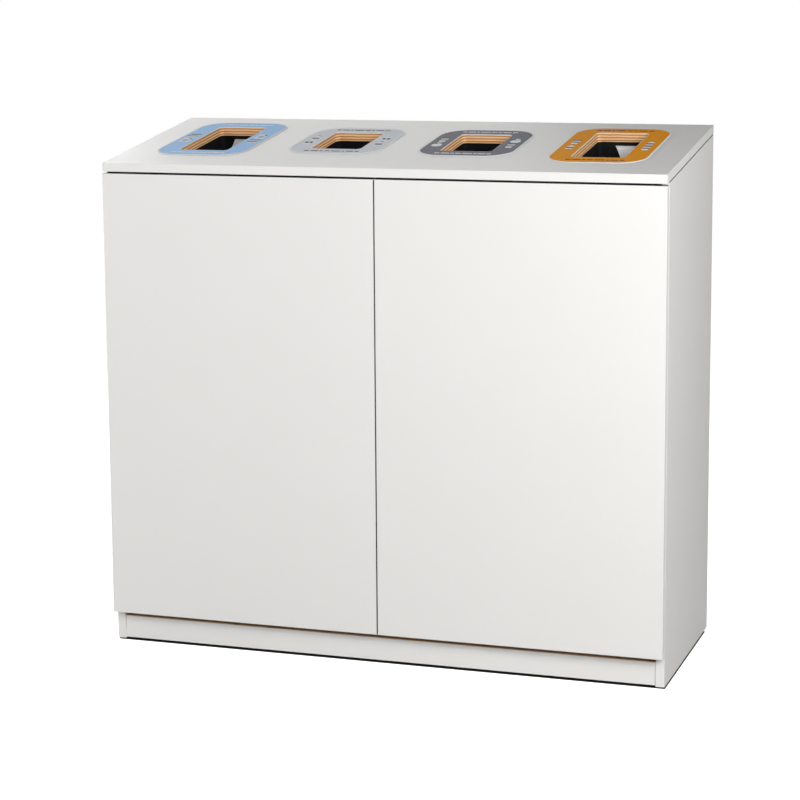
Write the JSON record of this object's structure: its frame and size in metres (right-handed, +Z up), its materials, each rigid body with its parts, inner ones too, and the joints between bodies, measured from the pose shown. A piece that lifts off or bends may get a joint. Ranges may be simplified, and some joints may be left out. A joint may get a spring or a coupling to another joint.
{
  "type": "recycling bin station",
  "caption": "Cabinet for sorted waste with drop openings in its sloping top, colour labels, push-open doors and pull-out bins inside.",
  "frame": {"origin": "on the floor under the middle of the cabinet", "axes": "+X to the right along the front, +Y to the back (the doors face -Y), +Z up"},
  "size_m": [1.2, 0.47, 1.0996],
  "materials": {
    "white_laminate": "satin white laminate on plywood",
    "blue_label": "printed satin sheet",
    "light_grey_label": "printed satin sheet",
    "dark_grey_label": "printed satin sheet",
    "orange_label": "printed satin sheet",
    "black_plastic": "fine moulded grain",
    "nickelled_steel": "satin nickel plate",
    "grey_plastic": "satin"
  },
  "bodies": {
    "cabinet": {"top_panel": "white_laminate", "left_side_panel": "white_laminate", "right_side_panel": "white_laminate", "centre_partition": "white_laminate", "left_floor_panel": "white_laminate", "right_floor_panel": "white_laminate", "back_panel": "white_laminate", "plinth_board": "white_laminate", "left_front_rail": "white_laminate", "right_front_rail": "white_laminate", "blue_label": "blue_label", "light_grey_label": "light_grey_label", "dark_grey_label": "dark_grey_label", "orange_label": "orange_label", "blue_chute": "black_plastic", "light_grey_chute": "black_plastic", "dark_grey_chute": "black_plastic", "orange_chute": "black_plastic", "left_front_glide": "grey_plastic", "left_rear_glide": "grey_plastic", "centre_front_glide": "grey_plastic", "centre_rear_glide": "grey_plastic", "right_front_glide": "grey_plastic", "right_rear_glide": "grey_plastic", "left_upper_hinge_plate": "nickelled_steel", "left_middle_hinge_plate": "nickelled_steel", "left_lower_hinge_plate": "nickelled_steel", "left_upper_hinge_arm": "nickelled_steel", "left_middle_hinge_arm": "nickelled_steel", "left_lower_hinge_arm": "nickelled_steel", "left_latch_housing": "grey_plastic", "right_upper_hinge_plate": "nickelled_steel", "right_middle_hinge_plate": "nickelled_steel", "right_lower_hinge_plate": "nickelled_steel", "right_upper_hinge_arm": "nickelled_steel", "right_middle_hinge_arm": "nickelled_steel", "right_lower_hinge_arm": "nickelled_steel", "right_latch_housing": "grey_plastic"},
    "left_hinge_links": {"left_upper_hinge_link": "nickelled_steel", "left_middle_hinge_link": "nickelled_steel", "left_lower_hinge_link": "nickelled_steel"},
    "left_door": {"left_door": "white_laminate", "left_upper_hinge_cup": "nickelled_steel", "left_middle_hinge_cup": "nickelled_steel", "left_lower_hinge_cup": "nickelled_steel", "left_strike_plate": "nickelled_steel"},
    "left_latch_plunger": {"left_latch_plunger": "grey_plastic"},
    "right_hinge_links": {"right_upper_hinge_link": "nickelled_steel", "right_middle_hinge_link": "nickelled_steel", "right_lower_hinge_link": "nickelled_steel"},
    "right_door": {"right_door": "white_laminate", "right_upper_hinge_cup": "nickelled_steel", "right_middle_hinge_cup": "nickelled_steel", "right_lower_hinge_cup": "nickelled_steel", "right_strike_plate": "nickelled_steel"},
    "right_latch_plunger": {"right_latch_plunger": "grey_plastic"},
    "blue_bin": {"blue_stream_bin": "black_plastic"},
    "light_grey_bin": {"light_grey_stream_bin": "black_plastic"},
    "dark_grey_bin": {"dark_grey_stream_bin": "black_plastic"},
    "orange_bin": {"orange_stream_bin": "black_plastic"}
  },
  "joints": [
    {"name": "left_hinge_link_turn", "type": "hinge", "parent": "cabinet", "child": "left_hinge_links", "pos_m": [-0.5685, -0.22, 0.5], "axis": [0, 0, 1], "range_deg": [0, 33.3]},
    {"name": "left_door_swing", "type": "hinge", "parent": "left_hinge_links", "child": "left_door", "pos_m": [-0.588, -0.223, 0.5], "axis": [0, 0, -1], "range_deg": [0, 128.25]},
    {"name": "left_latch_plunger_slide", "type": "slide", "parent": "cabinet", "child": "left_latch_plunger", "axis": [0, -1, 0], "range_m": [0, 0.0141]},
    {"name": "right_hinge_link_turn", "type": "hinge", "parent": "cabinet", "child": "right_hinge_links", "pos_m": [0.5685, -0.22, 0.5], "axis": [0, 0, -1], "range_deg": [0, 33.3]},
    {"name": "right_door_swing", "type": "hinge", "parent": "right_hinge_links", "child": "right_door", "pos_m": [0.588, -0.223, 0.5], "axis": [0, 0, 1], "range_deg": [0, 128.25]},
    {"name": "right_latch_plunger_slide", "type": "slide", "parent": "cabinet", "child": "right_latch_plunger", "axis": [0, -1, 0], "range_m": [0, 0.0141]},
    {"name": "blue_bin_slide", "type": "slide", "parent": "cabinet", "child": "blue_bin", "axis": [0, -1, 0], "range_m": [0, 0.07]},
    {"name": "light_grey_bin_slide", "type": "slide", "parent": "cabinet", "child": "light_grey_bin", "axis": [0, -1, 0], "range_m": [0, 0.07]},
    {"name": "dark_grey_bin_slide", "type": "slide", "parent": "cabinet", "child": "dark_grey_bin", "axis": [0, -1, 0], "range_m": [0, 0.07]},
    {"name": "orange_bin_slide", "type": "slide", "parent": "cabinet", "child": "orange_bin", "axis": [0, -1, 0], "range_m": [0, 0.07]}
  ],
  "couplings": [
    {"joint": "left_hinge_link_turn", "follows": "left_door_swing", "ratio": 0.25926},
    {"joint": "left_latch_plunger_slide", "follows": "left_door_swing", "m_per_rad": 0.00625},
    {"joint": "right_hinge_link_turn", "follows": "right_door_swing", "ratio": 0.25926},
    {"joint": "right_latch_plunger_slide", "follows": "right_door_swing", "m_per_rad": 0.00625}
  ]
}
